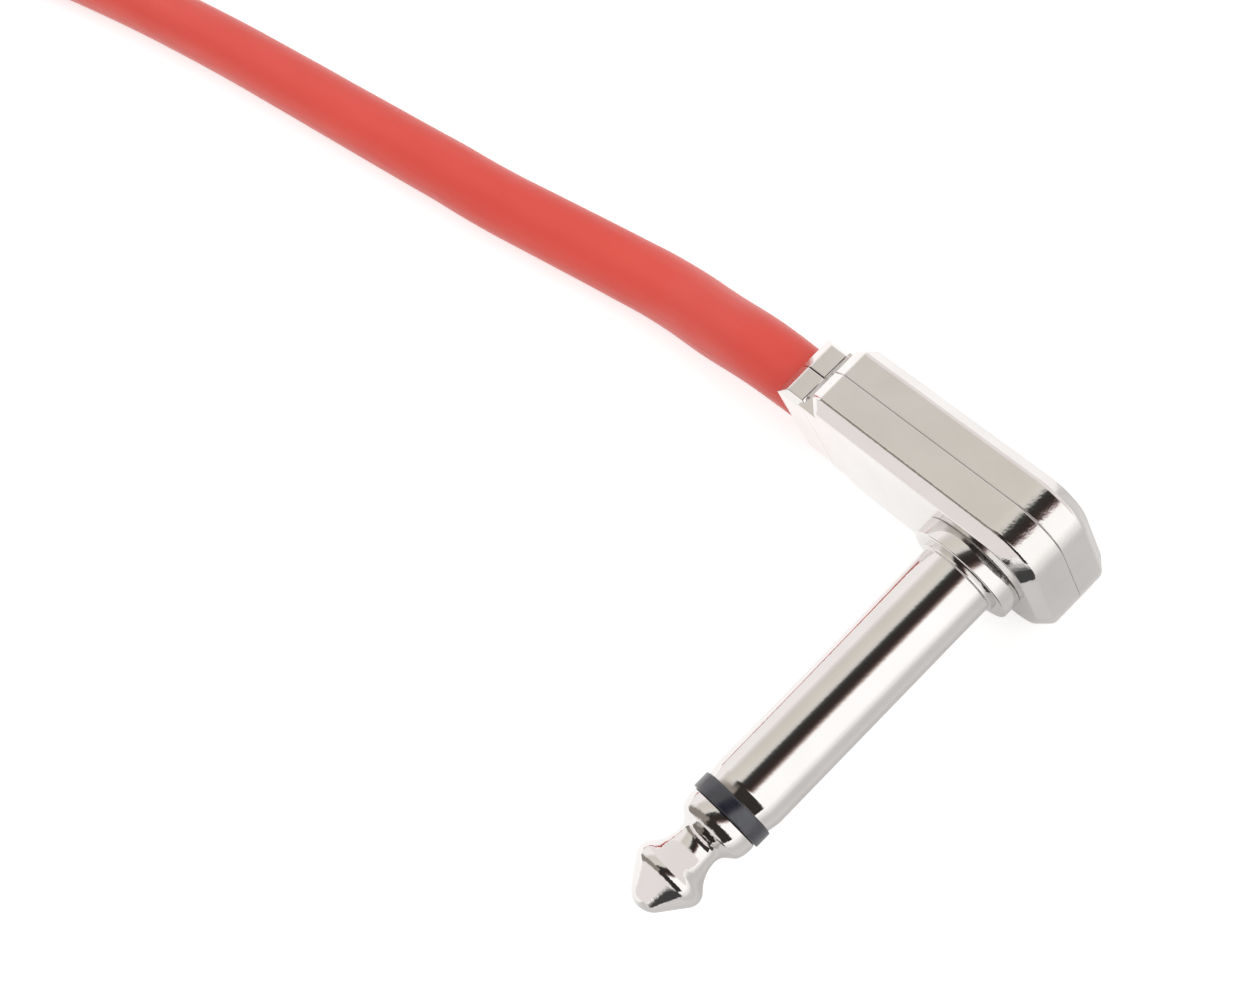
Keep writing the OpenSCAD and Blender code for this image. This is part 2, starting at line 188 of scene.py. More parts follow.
def noise(nodes, links, vector, detail=2, roughness=0.5):
    cloud = nodes.new("ShaderNodeTexNoise")
    cloud.inputs["Scale"].default_value = 1
    cloud.inputs["Detail"].default_value = detail
    cloud.inputs["Roughness"].default_value = roughness
    links.new(vector, cloud.inputs["Vector"])
    return cloud.outputs["Fac"]


def between(nodes, links, value, low, high, start=0.3, end=0.7):
    """Noise from start to end becomes a number from low to high."""
    spread = nodes.new("ShaderNodeMapRange")
    spread.inputs["From Min"].default_value = start
    spread.inputs["From Max"].default_value = end
    spread.inputs["To Min"].default_value = low
    spread.inputs["To Max"].default_value = high
    links.new(value, spread.inputs["Value"])
    return spread.outputs["Result"]


def two_colours(nodes, links, value, one, other, start=0.35, end=0.65):
    ramp = nodes.new("ShaderNodeValToRGB")
    ramp.color_ramp.elements[0].position = start
    ramp.color_ramp.elements[0].color = (*one, 1)
    ramp.color_ramp.elements[1].position = end
    ramp.color_ramp.elements[1].color = (*other, 1)
    links.new(value, ramp.inputs["Fac"])
    return ramp.outputs["Color"]


def bumped(nodes, links, shader, *layers):
    """Stacks (height, strength, depth in metres) layers of relief on the shader."""
    previous = None
    for height, strength, depth in layers:
        bump = nodes.new("ShaderNodeBump")
        bump.inputs["Strength"].default_value = strength
        bump.inputs["Distance"].default_value = depth
        links.new(height, bump.inputs["Height"])
        if previous:
            links.new(previous, bump.inputs["Normal"])
        previous = bump.outputs["Normal"]
    links.new(previous, shader.inputs["Normal"])


def jacket_finish():
    finish, nodes, links, shader = new_finish("red_pvc_jacket")
    shader.inputs["Specular IOR Level"].default_value = 0.38
    shader.inputs["Sheen Weight"].default_value = 0.22
    shader.inputs["Sheen Roughness"].default_value = 0.35
    clouds = noise(nodes, links, scaled_place(nodes, links, "UV", (120, 45, 1)), 3)
    links.new(two_colours(nodes, links, clouds, JACKET_DARK, JACKET_LIGHT), shader.inputs["Base Color"])
    drawn = noise(nodes, links, scaled_place(nodes, links, "UV", (2600, 130, 1)), 2)
    grain = noise(nodes, links, scaled_place(nodes, links, "Object", (JACKET_GRAIN,) * 3), 2)
    links.new(between(nodes, links, drawn, *JACKET_ROUGHNESS), shader.inputs["Roughness"])
    bumped(nodes, links, shader, (drawn, 0.25, 0.00001), (grain, *JACKET_GRAIN_RELIEF))
    return finish


free_cable, cable_centre = make_cable()
red_jacket = jacket_finish()
free_cable.data.materials.append(red_jacket)
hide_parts("cord")
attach(free_cable, "root")


# ---- Shell halves
# Two zinc die-castings, nickel-plated and polished. They part along a fine bevelled
# seam, and each has half of the clamp on a short neck behind a narrow groove.
# Sizes are in metres in the plug's own frame, whose origin is on the shaft's axis.
PLUG_AT = Vector((-0.00695, -0.0143, 0.0069))
FAR_TURN = Matrix.Translation((0.283, 0, 0)) @ Matrix.Rotation(math.pi, 4, "Z")
SHELL_W = 0.0138
SHELL_T = 0.007
SHELL_START = -0.0065
SHELL_END = 0.0166
SHELL_SEAM = -0.0036
SHELL_WALL = 0.0012
CLAMP_START = 0.0172
CLAMP_END = 0.0204
CLAMP_T = 0.0058
CLAMP_W = 0.0104
NECK_W = 0.0099
CORNER_R = 0.004
CORNER_STEPS = 20
FACE_CHAMFER = 0.001
FACE_CHAMFER_ROUND = 0.00019
CABLE_BEVEL = (0.0013, 0.0009)
SHELL_EDGE = 0.0001
CLAMP_BEVEL = (0.0012, 0.001)
CLAMP_BEVEL_ROUND = 0.00012
CLAMP_INSET = 0.00075
CLAMP_CHAMFER = 0.00045
CLAMP_EDGE = 0.00008
CLAMP_GAP = 0.00004
GROOVE_CHAMFER = 0.0003
NECK_INSET = 0.00002
NECK_IN_BODY = 0.0012
NECK_IN_CLAMP = 0.0004
STEP_IN_BODY = 0.002
PAST_SEAM = 0.001
HOLLOW_R = 0.0028
HOLLOW_STEPS = 12
END_WALL = 0.0014
CABLE_WAY_R = 0.00245
CABLE_WAY_AT = 0.0184
CABLE_WAY_L = 0.008
ROOT_R = 0.00345
ROOT_L = 0.004
ROUND_SIDES = 64


def select_only(piece):
    """Makes the piece the only one selected, and the active one."""
    bpy.ops.object.select_all(action="DESELECT")
    piece.select_set(True)
    bpy.context.view_layer.objects.active = piece


def add_block(low, high):
    """A box between two corners, in the plug's own frame, left in object mode."""
    low, high = Vector(low) + PLUG_AT, Vector(high) + PLUG_AT
    bpy.ops.mesh.primitive_cube_add(size=1, location=(low + high) / 2, scale=high - low)
    bpy.ops.object.transform_apply(location=True, rotation=True, scale=True)
    return bpy.context.object


def edges_where(piece, wanted):
    """Selects the edges whose middle, in the plug's frame, satisfies wanted."""
    bpy.ops.object.mode_set(mode="EDIT")
    bpy.ops.mesh.select_all(action="DESELECT")
    bpy.ops.mesh.select_mode(type="EDGE")
    mesh = bmesh.from_edit_mesh(piece.data)
    for edge in mesh.edges:
        if wanted((edge.verts[0].co + edge.verts[1].co) / 2 - PLUG_AT):
            edge.select_set(True)
    bmesh.update_edit_mesh(piece.data)


def bevel_edges(piece, wanted, width, segments=1):
    edges_where(piece, wanted)
    bpy.ops.mesh.bevel(offset=width, segments=segments, affect="EDGES")
    bpy.ops.object.mode_set(mode="OBJECT")


def cut_off(piece, point, outwards):
    """Slices off what lies past a plane, and closes the cut."""
    select_only(piece)
    bpy.ops.object.mode_set(mode="EDIT")
    bpy.ops.mesh.select_all(action="SELECT")
    bpy.ops.mesh.bisect(
        plane_co=Vector(point) + PLUG_AT, plane_no=Vector(outwards).normalized(),
        use_fill=True, clear_outer=True, threshold=1e-7)
    bpy.ops.object.mode_set(mode="OBJECT")


def cut_corners(piece, end, side, along, across):
    """Bevels the two upright edges at an end: along is measured along the cable."""
    facing = 1 if along > 0 else -1
    for m in (-1, 1):
        cut_off(piece, (end, 0, m * (side - across)), (facing * across, 0, m * abs(along)))


def near_to(a, b):
    return abs(a - b) < 1e-5


def combine(piece, other, operation):
    """Adds other to piece, or cuts it away, and removes other."""
    select_only(piece)
    step = piece.modifiers.new("combine", "BOOLEAN")
    step.operation = operation
    step.solver = "EXACT"
    step.object = other
    bpy.ops.object.modifier_apply(modifier=step.name)
    bpy.data.objects.remove(other)


def tidy_mesh(piece):
    """Merges points that coincide, and turns all faces outwards."""
    select_only(piece)
    bpy.ops.object.mode_set(mode="EDIT")
    bpy.ops.mesh.select_all(action="SELECT")
    bpy.ops.mesh.remove_doubles(threshold=1e-6)
    bpy.ops.mesh.normals_make_consistent(inside=False)
    bpy.ops.object.mode_set(mode="OBJECT")


def soften_edges(piece, width, segments=3, angle=30):
    """Rounds the sharp edges a little, as plating and polishing do."""
    tidy_mesh(piece)
    step = piece.modifiers.new("soft_edges", "BEVEL")
    step.width = width
    step.segments = segments
    step.limit_method = "ANGLE"
    step.angle_limit = math.radians(angle)
    bpy.ops.object.modifier_apply(modifier=step.name)


def smooth_faces(piece, angle=32):
    """Shades the rounded edges smooth and keeps the flat faces flat."""
    tidy_mesh(piece)
    bpy.ops.object.shade_smooth_by_angle(angle=math.radians(angle))
    step = piece.modifiers.new("flat_faces", "WEIGHTED_NORMAL")
    step.keep_sharp = True
    bpy.ops.object.modifier_apply(modifier=step.name)


def shell_half(face, seam, clamp_face):
    """One casting, from its big outer face to the seam. Depths run along the shaft."""
    inwards = 1 if seam > face else -1
    side = SHELL_W / 2
    body = add_block((SHELL_START, min(face, seam), -side), (SHELL_END, max(face, seam), side))
    bevel_edges(body, lambda p: near_to(p.x, SHELL_START) and near_to(abs(p.z), side), CORNER_R, CORNER_STEPS)
    cut_corners(body, SHELL_END, side, *CABLE_BEVEL)
    bevel_edges(body, lambda p: near_to(p.y, face), FACE_CHAMFER)
    bevel_edges(body, lambda p: near_to(p.y, face + FACE_CHAMFER * inwards), FACE_CHAMFER_ROUND, 4)
    soften_edges(body, SHELL_EDGE)

    parting = -CLAMP_T / 2
    gap = parting - CLAMP_GAP * inwards
    clamp = add_block((CLAMP_START, min(clamp_face, gap), -CLAMP_W / 2),
                      (CLAMP_END, max(clamp_face, gap), CLAMP_W / 2))
    for m in (-1, 1):
        cut_off(clamp, (0, clamp_face, m * (CLAMP_W / 2 - CLAMP_INSET)),
                (0, -CLAMP_INSET * inwards, m * CLAMP_CHAMFER))
    cut_corners(clamp, CLAMP_END, CLAMP_W / 2, *CLAMP_BEVEL)
    cut_corners(clamp, CLAMP_START, CLAMP_W / 2, -GROOVE_CHAMFER, GROOVE_CHAMFER)
    bevel_edges(clamp, lambda p: near_to(p.x, CLAMP_END - CLAMP_BEVEL[0]), CLAMP_BEVEL_ROUND, 4)
    soften_edges(clamp, CLAMP_EDGE)

    neck_face = clamp_face + NECK_INSET * inwards
    neck = add_block((SHELL_END - NECK_IN_BODY, min(neck_face, parting), -NECK_W / 2),
                     (CLAMP_START + NECK_IN_CLAMP, max(neck_face, parting), NECK_W / 2))
    if seam > face:
        step = add_block((SHELL_END - STEP_IN_BODY, seam, -SHELL_W), (SHELL_END, 0, SHELL_W))
        combine(neck, step, "DIFFERENCE")
    combine(body, neck, "UNION")
    combine(body, clamp, "UNION")

    inside = seam + PAST_SEAM * inwards
    floor = face + SHELL_WALL * inwards
    hollow = add_block((SHELL_START + SHELL_WALL, min(floor, inside), SHELL_WALL - side),
                       (SHELL_END - END_WALL, max(floor, inside), side - SHELL_WALL))
    bevel_edges(hollow, lambda p: near_to(p.x, SHELL_START + SHELL_WALL)
                and near_to(abs(p.z), side - SHELL_WALL), HOLLOW_R, HOLLOW_STEPS)
    combine(body, hollow, "DIFFERENCE")
    bpy.ops.mesh.primitive_cylinder_add(
        vertices=ROUND_SIDES, radius=CABLE_WAY_R, depth=CABLE_WAY_L, rotation=(0, math.pi / 2, 0),
        location=PLUG_AT + Vector((CABLE_WAY_AT, parting, 0)))
    combine(body, bpy.context.object, "DIFFERENCE")
    return body


def housing_finish():
    finish, nodes, links, shader = new_finish("polished_nickel_casting")
    shader.inputs["Metallic"].default_value = 1
    clouds = noise(nodes, links, scaled_place(nodes, links, "Object", (260, 260, 260)), 3)
    nickel = two_colours(nodes, links, clouds, (0.655, 0.635, 0.62), (0.685, 0.668, 0.655))
    links.new(nickel, shader.inputs["Base Color"])
    haze = noise(nodes, links, scaled_place(nodes, links, "Object", (900, 900, 900)), 2)
    links.new(between(nodes, links, haze, 0.05, 0.12), shader.inputs["Roughness"])
    peel = noise(nodes, links, scaled_place(nodes, links, "Object", (1500, 1500, 1500)), 2)
    pits = noise(nodes, links, scaled_place(nodes, links, "Object", (3600, 3600, 3600)), 2, 0.6)
    bumped(nodes, links, shader, (peel, 0.3, 0.000006), (pits, 0.9, 0.000014))
    return finish


def finish_piece(piece, name, node, material):
    """Names a new piece of the near plug, gives it its finish and body, and hides the CAD node it stands in
    for.
    """
    piece.name = name
    piece.data.name = name
    piece.data.materials.clear()
    piece.data.materials.append(material)
    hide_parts(node)
    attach(piece, "root")
    return piece


def far_copy(piece, node):
    """The same piece on the far plug, with a mesh of its own."""
    copy = bpy.data.objects.new("far_" + piece.name, piece.data.copy())
    copy.data.name = copy.name
    copy.data.transform(FAR_TURN)
    bpy.context.scene.collection.objects.link(copy)
    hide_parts("far_" + node)
    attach(copy, "root")


nickel_casting = housing_finish()

front_half = shell_half(0, SHELL_SEAM, 0)
bpy.ops.mesh.primitive_cylinder_add(
    vertices=ROUND_SIDES, radius=ROOT_R, depth=ROOT_L, rotation=(math.pi / 2, 0, 0), location=PLUG_AT)
combine(front_half, bpy.context.object, "DIFFERENCE")
smooth_faces(front_half)
finish_piece(front_half, "front_half", "front_shell", nickel_casting)
far_copy(front_half, "front_shell")

rear_half = shell_half(-SHELL_T, SHELL_SEAM, -CLAMP_T)
smooth_faces(rear_half)
finish_piece(rear_half, "rear_half", "rear_shell", nickel_casting)
far_copy(rear_half, "rear_shell")


# ---- Collar, shaft, ring and tip
# Turned brass, nickel-plated and bright, with a moulded black nylon ring between the
# shaft and the tip. Each is one profile spun round the shaft's axis.
SPIN_STEPS = 128


def arc(centre, r, start, end, steps):
    """Points of an arc, from one angle in degrees to another."""
    turn = [math.radians(start + (end - start) * k / steps) for k in range(steps + 1)]
    return [(centre[0] + r * math.cos(a), centre[1] + r * math.sin(a)) for a in turn]


def spin_profile(name, outline):
    """Spins (radius, place) points in millimetres round the shaft's axis."""
    points = [PLUG_AT + Vector((r, y, 0)) / 1000 for r, y in outline]
    mesh = bpy.data.meshes.new(name)
    mesh.from_pydata(points, [(i, i + 1) for i in range(len(points) - 1)], [])
    piece = bpy.data.objects.new(name, mesh)
    bpy.context.scene.collection.objects.link(piece)
    select_only(piece)
    bpy.ops.object.mode_set(mode="EDIT")
    bpy.ops.mesh.select_all(action="SELECT")
    bpy.ops.mesh.spin(steps=SPIN_STEPS, angle=math.tau, center=PLUG_AT, axis=(0, 1, 0))
    bpy.ops.object.mode_set(mode="OBJECT")
    smooth_faces(piece)
    return piece


def turned_finish(name, wobble):
    """Bright plating with fine turning marks, waves and grain. wobble is how uneven it is."""
    finish, nodes, links, shader = new_finish(name)
    shader.inputs["Metallic"].default_value = 1
    clouds = noise(nodes, links, scaled_place(nodes, links, "Object", (200, 200, 200)), 2)
    links.new(two_colours(nodes, links, clouds, (0.665, 0.648, 0.635), (0.69, 0.675, 0.665)),
              shader.inputs["Base Color"])
    haze = noise(nodes, links, scaled_place(nodes, links, "Object", (700, 350, 700)), 2)
    links.new(between(nodes, links, haze, 0.025, 0.06), shader.inputs["Roughness"])
    turning = noise(nodes, links, scaled_place(nodes, links, "Object", (150, 9000, 150)), 2)
    waves = noise(nodes, links, scaled_place(nodes, links, "Object", (600, 300, 600)), 1)
    grain = noise(nodes, links, scaled_place(nodes, links, "Object", (3600, 3600, 3600)), 2)
    bumped(nodes, links, shader,
           (waves, wobble, 0.000006), (turning, 0.12, 0.000001), (grain, wobble, 0.000014))
    return finish


def ring_finish():
    finish, nodes, links, shader = new_finish("black_nylon_ring")
    shader.inputs["Specular IOR Level"].default_value = 0.85
    clouds = noise(nodes, links, scaled_place(nodes, links, "Object", (900, 900, 900)), 3)
    links.new(two_colours(nodes, links, clouds, (0.013, 0.014, 0.024), (0.024, 0.026, 0.04)),
              shader.inputs["Base Color"])
    grain = noise(nodes, links, scaled_place(nodes, links, "Object", (5000, 5000, 5000)), 2)
    links.new(between(nodes, links, grain, 0.16, 0.26), shader.inputs["Roughness"])
    bumped(nodes, links, shader, (grain, 0.3, 0.000006))
    return finish


bright_nickel = turned_finish("bright_turned_nickel", 0.2)
tip_nickel = turned_finish("burnished_nickel_tip", 0.7)
black_nylon = ring_finish()

collar = spin_profile("collar", [
    (3.45, 0), *arc((4.42, 0.08), 0.08, -90, 0, 5), *arc((4.38, 1.48), 0.12, 0, 90, 6),
    (3.45, 1.6), (3.45, 0),
])
finish_piece(collar, "collar", "plug_collar", bright_nickel)
far_copy(collar, "plug_collar")

sleeve = spin_profile("shaft", [
    (1.9, -2.4), (3.9, -2.4), (3.9, -1.6), (3.45, -1.6),
    *arc((3.39, 1.89), 0.06, 0, 90, 4), (3.235, 1.95), *arc((3.235, 2.01), 0.06, -90, -180, 4),
    (3.175, 23.9), *arc((2.175, 24.0), 1.0, 0, 9, 3), *arc((2.94, 25.04), 0.06, 9, 90, 4),
    (1.9, 25.1), (1.9, -2.4),
])
finish_piece(sleeve, "shaft", "plug_sleeve", bright_nickel)
far_copy(sleeve, "plug_sleeve")

ring = spin_profile("ring", [
    (1.2, 25.1), *arc((3.12, 25.18), 0.08, -90, 0, 4), *arc((3.12, 26.42), 0.08, 0, 90, 4),
    (1.2, 26.5), (1.2, 25.1),
])
finish_piece(ring, "ring", "insulator_ring", black_nylon)
far_copy(ring, "insulator_ring")

tip = spin_profile("tip", [
    (0, -4.4), (1.2, -4.4), (2, -3.9), (2, -3.7), (1.2, -3.7), (1.2, 26.5),
    (2.86, 26.5), *arc((0.52, 27.0), 2.5, -9, 25, 14), *arc((2.469, 27.909), 0.35, 33, 50, 4),
    *arc((2.784, 29.416), 1.0, 230, 180, 14), *arc((4.784, 29.416), 3.0, 177, 142, 16),
    *arc((1.85, 32.35), 1.15, -37, 36.87, 24), *arc((0, 33.9), 1.7, 36.87, 90, 14),
])
finish_piece(tip, "tip", "tip_contact", tip_nickel)
far_copy(tip, "tip_contact")


# ---- Pieces inside the housings
# The jacket, conductors, tags, washer, tube, film and solder that a closed plug hides.
# They keep the shape they have, and each gets the finish of what it is made of.
def inner_finish(name, dark, light, metallic, roughness, scale, depth):
    finish, nodes, links, shader = new_finish(name)
    shader.inputs["Metallic"].default_value = metallic
    clouds = noise(nodes, links, scaled_place(nodes, links, "Object", (scale, scale, scale)), 3)
    links.new(two_colours(nodes, links, clouds, dark, light), shader.inputs["Base Color"])
    links.new(between(nodes, links, clouds, roughness, roughness + 0.15), shader.inputs["Roughness"])
    bumped(nodes, links, shader, (clouds, 0.4, depth))
    return finish


def clamped_jacket_finish():
    """The cable's jacket again, for a piece that has no UV map."""
    finish, nodes, links, shader = new_finish("red_pvc_in_clamp")
    clouds = noise(nodes, links, scaled_place(nodes, links, "Object", (500, 500, 500)), 3)
    links.new(two_colours(nodes, links, clouds, JACKET_DARK, JACKET_LIGHT), shader.inputs["Base Color"])
    grain = noise(nodes, links, scaled_place(nodes, links, "Object", (JACKET_GRAIN,) * 3), 2)
    links.new(between(nodes, links, grain, *JACKET_ROUGHNESS), shader.inputs["Roughness"])
    bumped(nodes, links, shader, (grain, *JACKET_GRAIN_RELIEF))
    return finish


# Name, darker and lighter colour, metallic, roughness, grain per metre, depth of relief
inner_looks = {
    "rod_insulator":
        ("ivory_nylon_tube", (0.80, 0.77, 0.68), (0.86, 0.83, 0.75), 0, 0.4, 1200, 0.00001),
    "rear_washer":
        ("red_fibre_washer", (0.30, 0.12, 0.07), (0.38, 0.17, 0.10), 0, 0.7, 2500, 0.00002),
    "tip_lug":
        ("tinned_brass_tag", (0.62, 0.50, 0.28), (0.72, 0.60, 0.36), 1, 0.25, 1500, 0.00001),
    "core_insulation":
        ("white_polythene", (0.80, 0.80, 0.78), (0.86, 0.86, 0.84), 0, 0.35, 900, 0.00001),
    "core_wire":
        ("bare_copper", (0.66, 0.33, 0.20), (0.76, 0.42, 0.27), 1, 0.3, 3000, 0.00001),
    "tip_solder":
        ("dull_solder", (0.56, 0.56, 0.57), (0.68, 0.68, 0.69), 1, 0.3, 1800, 0.00003),
    "insulating_sheet":
        ("waxed_paper_film", (0.62, 0.52, 0.32), (0.72, 0.62, 0.42), 0, 0.5, 1600, 0.00001),
}
inner_finishes = {node: inner_finish(*look) for node, look in inner_looks.items()}
inner_finishes["cable_end"] = clamped_jacket_finish()
inner_finishes["ground_lug"] = inner_finishes["tip_lug"]
inner_finishes["shield_pigtail"] = inner_finishes["core_wire"]
inner_finishes["ground_solder"] = inner_finishes["tip_solder"]
for node, material in inner_finishes.items():
    for name in (node, "far_" + node):
        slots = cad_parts[name].data.materials
        slots.clear()
        slots.append(material)


# ---- Floor and studio light
# A white floor under soft, even light. Polished metal mirrors a set of its own: light and
# dark bands in the room, a floor that glows only for mirrored rays, in stripes that are darkest
# by the plug, which is painted shade, and two dark cards by the plug, painted dark reflections.
FLOOR_COLOUR = (0.67, 0.655, 0.645)
FLOOR_GLOW_SEEN = 0.62
FLOOR_GLOW_MIRRORED = 0.2
SHADE_FROM_MM = -100
SHADE_TO_MM = 60
CARD_LEVEL = 0.075
SOFT_LEVEL = 0.55
MIRROR_LEVEL = 1.6
LAMPS_AIM_AT = Vector((0.02, 0, 0))


def studio_math(operation, a, b, clamp=False):
    """A sum on two sockets or numbers, in the material or room in hand."""
    step = nodes.new("ShaderNodeMath")
    step.operation = operation
    step.use_clamp = clamp
    for socket, value in zip(step.inputs, (a, b)):
        if isinstance(value, (int, float)):
            socket.default_value = value
        else:
            links.new(value, socket)
    return step.outputs["Value"]


def studio_range(value, start, end, low=0, high=1):
    """Goes smoothly from low to high while value goes from start to end."""
    step = nodes.new("ShaderNodeMapRange")
    step.interpolation_type = "SMOOTHSTEP"
    numbers = (("From Min", start), ("From Max", end), ("To Min", low), ("To Max", high))
    for name, number in numbers:
        step.inputs[name].default_value = number
    links.new(value, step.inputs["Value"])
    return step.outputs["Result"]


def studio_band(value, rise, fall):
    """1 between rise and fall, and 0 outside them, with smooth sides."""
    return studio_math("MULTIPLY", studio_range(value, *rise), studio_range(value, *fall, 1, 0))


def fill_ramp(ramp, stops):
    """Gives a colour ramp its stops, each a position from 0 to 1 and a colour."""
    for position, colour in stops[1:-1]:
        ramp.elements.new(position)
    for element, (position, colour) in zip(ramp.elements, stops):
        element.position = position
        element.color = (*colour, 1)


bpy.ops.mesh.primitive_plane_add(size=4, location=(0.14, 0, -0.00005))
bpy.ops.object.transform_apply(location=True)
floor = bpy.context.object
floor.name = "floor"
paper, nodes, links, shader = new_finish("white_paper")
shader.inputs["Base Color"].default_value = (*FLOOR_COLOUR, 1)
shader.inputs["Roughness"].default_value = 0.9
shader.inputs["Specular IOR Level"].default_value = 0.1
shader.inputs["Emission Color"].default_value = (1, 1, 1, 1)
ray = nodes.new("ShaderNodeLightPath")
place = nodes.new("ShaderNodeTexCoord")
split = nodes.new("ShaderNodeSeparateXYZ")
links.new(place.outputs["Object"], split.inputs["Vector"])
sweep = nodes.new("ShaderNodeMapRange")
sweep.inputs["From Min"].default_value = SHADE_FROM_MM / 1000
sweep.inputs["From Max"].default_value = SHADE_TO_MM / 1000
links.new(split.outputs["X"], sweep.inputs["Value"])
# The floor glows only for mirrored rays, in stripes darkest close to the plug: painted shade, seen only in
# the metal.
mirrored_shade_strips = nodes.new("ShaderNodeValToRGB")
mirrored_shade_levels = (
    (-100, 0.60), (-50, 0.42), (-33, 0.24), (-27, 0.06), (-21, 0), (-18, 0.02), (-14, 0.12),
    (-11, 0.04), (-8.8, 0), (-4, 0.08), (2.4, 0.50), (60, 0.60),
)
fill_ramp(mirrored_shade_strips.color_ramp, [
    ((mm - SHADE_FROM_MM) / (SHADE_TO_MM - SHADE_FROM_MM), (level,) * 3)
    for mm, level in mirrored_shade_levels
])
links.new(sweep.outputs["Result"], mirrored_shade_strips.inputs["Fac"])
mirrored_glow = studio_math("ADD", mirrored_shade_strips.outputs["Color"], FLOOR_GLOW_MIRRORED)
mirrored_glow = studio_math("MULTIPLY", ray.outputs["Is Glossy Ray"], mirrored_glow)
seen_glow = studio_math("MULTIPLY", ray.outputs["Is Camera Ray"], FLOOR_GLOW_SEEN)
links.new(studio_math("ADD", mirrored_glow, seen_glow), shader.inputs["Emission Strength"])
floor.data.materials.append(paper)


def add_painted_reflection_card(name, left, right, place_y, height):
    """An upright card on the floor, which only polished metal mirrors: a painted dark reflection."""
    bpy.ops.mesh.primitive_plane_add(
        size=1, location=((left + right) / 2, place_y, height / 2), rotation=(math.pi / 2, 0, 0))
    card = bpy.context.object
    card.scale = (right - left, height, 1)
    bpy.ops.object.transform_apply(location=True, rotation=True, scale=True)
    card.name = name
    card.data.materials.append(painted_dark_reflection)
    card.visible_camera = False
    card.visible_diffuse = False
    card.visible_transmission = False
    card.visible_shadow = False


# A painted dark reflection: dark on the card's front, clear on its back, and fading out at its sides and top
painted_dark_reflection, nodes, links, shader = new_finish("painted_dark_reflection")
spot = nodes.new("ShaderNodeTexCoord")
split = nodes.new("ShaderNodeSeparateXYZ")
links.new(spot.outputs["UV"], split.inputs["Vector"])
across = studio_math(
    "MULTIPLY", studio_range(split.outputs["X"], 0, 0.25), studio_range(split.outputs["X"], 1, 0.88))
solid = studio_math("MULTIPLY", across, studio_range(split.outputs["Y"], 1, 0.60))
side = nodes.new("ShaderNodeNewGeometry")
front = nodes.new("ShaderNodeEmission")
front.inputs["Strength"].default_value = CARD_LEVEL
back = nodes.new("ShaderNodeBsdfTransparent")
one_sided = nodes.new("ShaderNodeMixShader")
dark = studio_math("MULTIPLY", solid, studio_math("SUBTRACT", 1, side.outputs["Backfacing"]))
links.new(studio_math("SUBTRACT", 1, dark), one_sided.inputs["Fac"])
links.new(front.outputs["Emission"], one_sided.inputs[1])
links.new(back.outputs["BSDF"], one_sided.inputs[2])
links.new(one_sided.outputs["Shader"], nodes["Material Output"].inputs["Surface"])
add_painted_reflection_card("painted_reflection_by_housing", -0.036, -0.0122, -0.0084, 0.012)
add_painted_reflection_card("painted_reflection_by_tip", -0.032, -0.0122, 0.033, 0.0125)

# Bands that run along Y, by how far a direction turns from straight up towards +X
room = bpy.data.worlds.new("studio")
bpy.context.scene.world = room
room.use_nodes = True
nodes, links = room.node_tree.nodes, room.node_tree.links
nodes.clear()
way = nodes.new("ShaderNodeTexCoord")
split = nodes.new("ShaderNodeSeparateXYZ")
links.new(way.outputs["Generated"], split.inputs["Vector"])
lean = studio_math("MAXIMUM", studio_math("MINIMUM", split.outputs["Y"], 0.25), -0.25)
across = studio_math("SUBTRACT", split.outputs["X"], studio_math("MULTIPLY", lean, 0.8))
turn = studio_math("ARCTAN2", across, split.outputs["Z"])
place = studio_math("ADD", studio_math("DIVIDE", turn, math.pi), 0.5, True)
panels = nodes.new("ShaderNodeValToRGB")
panel_colours = (
    (-90, (1.47, 1.47, 1.47)), (-43, (1.47, 1.47, 1.47)), (-39, (1.30, 1.25, 1.22)),
    (-35, (0.72, 0.60, 0.58)), (-31, (0.27, 0.21, 0.20)), (-26, (0.09, 0.062, 0.058)),
    (-20, (0.045, 0.032, 0.030)), (-6, (0.045, 0.042, 0.040)), (1, (0.09, 0.09, 0.085)),
    (4, (0.33, 0.32, 0.30)), (8, (0.83, 0.81, 0.77)), (15, (0.94, 0.92, 0.86)),
    (27, (0.91, 0.86, 0.77)), (43, (0.87, 0.83, 0.78)), (52, (1.02, 0.97, 0.95)),
    (59, (1.24, 1.20, 1.19)), (90, (1.20, 1.17, 1.16)),
)


def room_colour(colour):
    """A colour as a share of the brightest level that the metal mirrors."""
    return tuple(level / MIRROR_LEVEL for level in colour)


def room_blend(amount, one, other):
    """Goes from what is there to another colour as amount goes from 0 to 1."""
    step = nodes.new("ShaderNodeMix")
    step.data_type = "RGBA"
    links.new(amount, step.inputs["Factor"])
    links.new(one, step.inputs["A"])
    step.inputs["B"].default_value = (*room_colour(other), 1)
    return step.outputs["Result"]


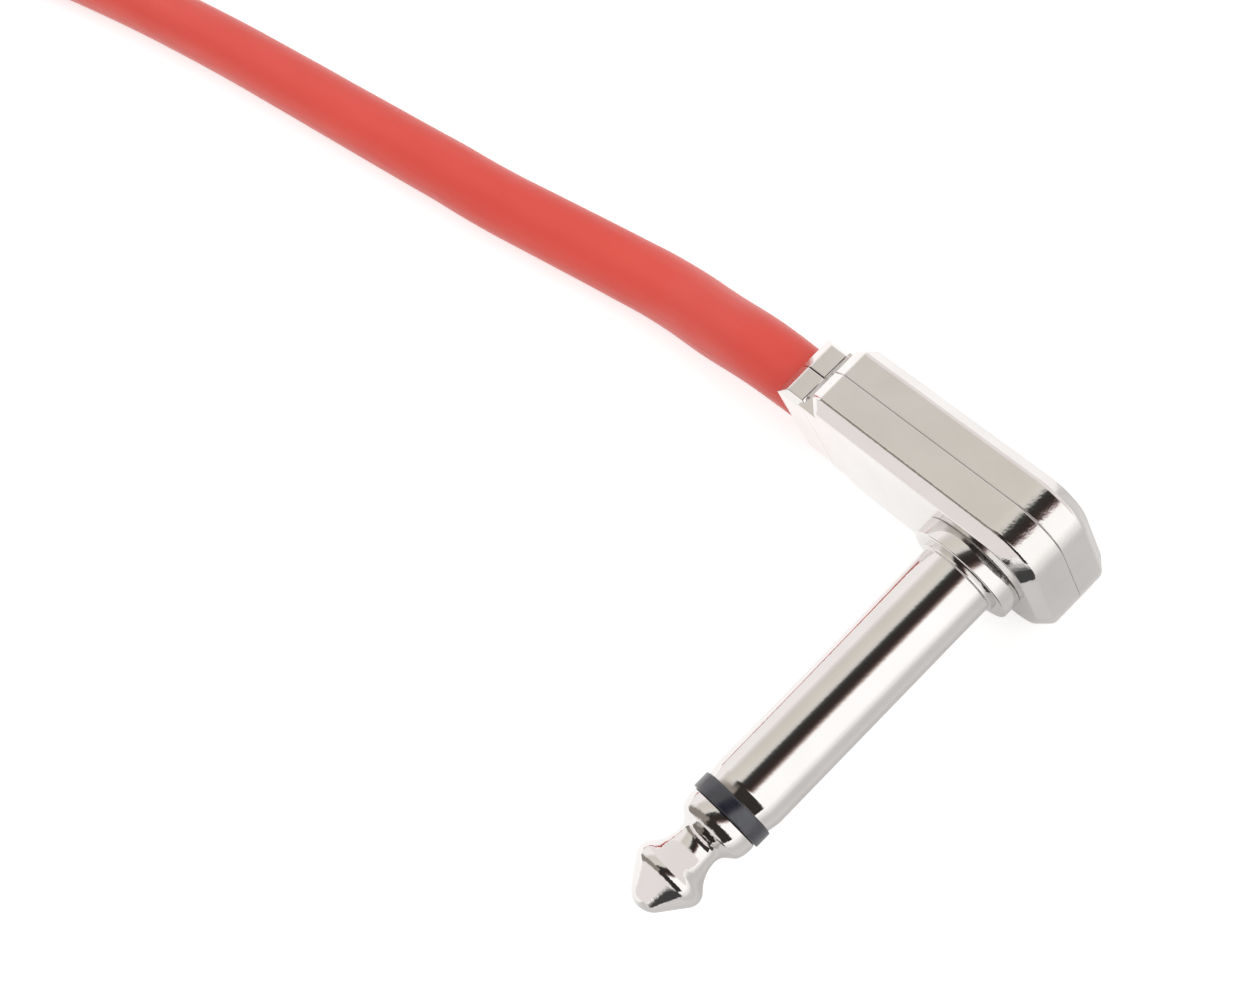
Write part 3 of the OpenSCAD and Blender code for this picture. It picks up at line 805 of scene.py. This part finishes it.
fill_ramp(panels.color_ramp,
          [(degrees / 180 + 0.5, room_colour(colour)) for degrees, colour in panel_colours])
links.new(place, panels.inputs["Fac"])
in_front = studio_band(split.outputs["Y"], (0.20, 0.27), (0.66, 0.76))
unlit_side = studio_math("MULTIPLY", in_front, studio_range(split.outputs["X"], -0.06, 0.08, 1, 0))
ahead = studio_band(split.outputs["Y"], (0.26, 0.40), (0.60, 0.74))
both_ends = studio_math(
    "MAXIMUM", studio_range(split.outputs["Y"], 0.66, 0.76),
    studio_range(split.outputs["Y"], -0.45, -0.35, 1, 0))
panelled = room_blend(ahead, panels.outputs["Color"], (0.36, 0.32, 0.29))
panelled = room_blend(unlit_side, panelled, (0.045, 0.04, 0.038))
panelled = room_blend(both_ends, panelled, (1.10, 1.05, 1.045))


def room_light(colour, strength):
    """A background of one strength, from a socket or a plain colour."""
    light = nodes.new("ShaderNodeBackground")
    light.inputs["Strength"].default_value = strength
    if isinstance(colour, tuple):
        light.inputs["Color"].default_value = colour
    else:
        links.new(colour, light.inputs["Color"])
    return light.outputs["Background"]


mirrored = room_light(panelled, MIRROR_LEVEL)
soft = room_light((1, 1, 1, 1), SOFT_LEVEL)
white = room_light((1, 1, 1, 1), 1)
ray = nodes.new("ShaderNodeLightPath")
lit_or_mirrored = nodes.new("ShaderNodeMixShader")
links.new(ray.outputs["Is Glossy Ray"], lit_or_mirrored.inputs["Fac"])
links.new(soft, lit_or_mirrored.inputs[1])
links.new(mirrored, lit_or_mirrored.inputs[2])
lit_or_seen = nodes.new("ShaderNodeMixShader")
links.new(ray.outputs["Is Camera Ray"], lit_or_seen.inputs["Fac"])
links.new(lit_or_mirrored.outputs["Shader"], lit_or_seen.inputs[1])
links.new(white, lit_or_seen.inputs[2])
output = nodes.new("ShaderNodeOutputWorld")
links.new(lit_or_seen.outputs["Shader"], output.inputs["Surface"])


def add_lamp(name, place, watts, size):
    """A square lamp aimed at the near plug, which metal doesn't mirror."""
    lamp = bpy.data.lights.new(name, "AREA")
    lamp.energy = watts
    lamp.size = size
    holder = bpy.data.objects.new(name, lamp)
    holder.location = place
    aim = LAMPS_AIM_AT - Vector(place)
    holder.rotation_euler = aim.to_track_quat("-Z", "Y").to_euler()
    holder.visible_glossy = False
    bpy.context.scene.collection.objects.link(holder)


add_lamp("softbox", (-0.55, -0.1, 0.45), 1.6, 0.5)
add_lamp("ceiling_panel", (0.35, 0.1, 0.7), 1.5, 0.7)

view = bpy.context.scene.view_settings
view.view_transform = "Standard"
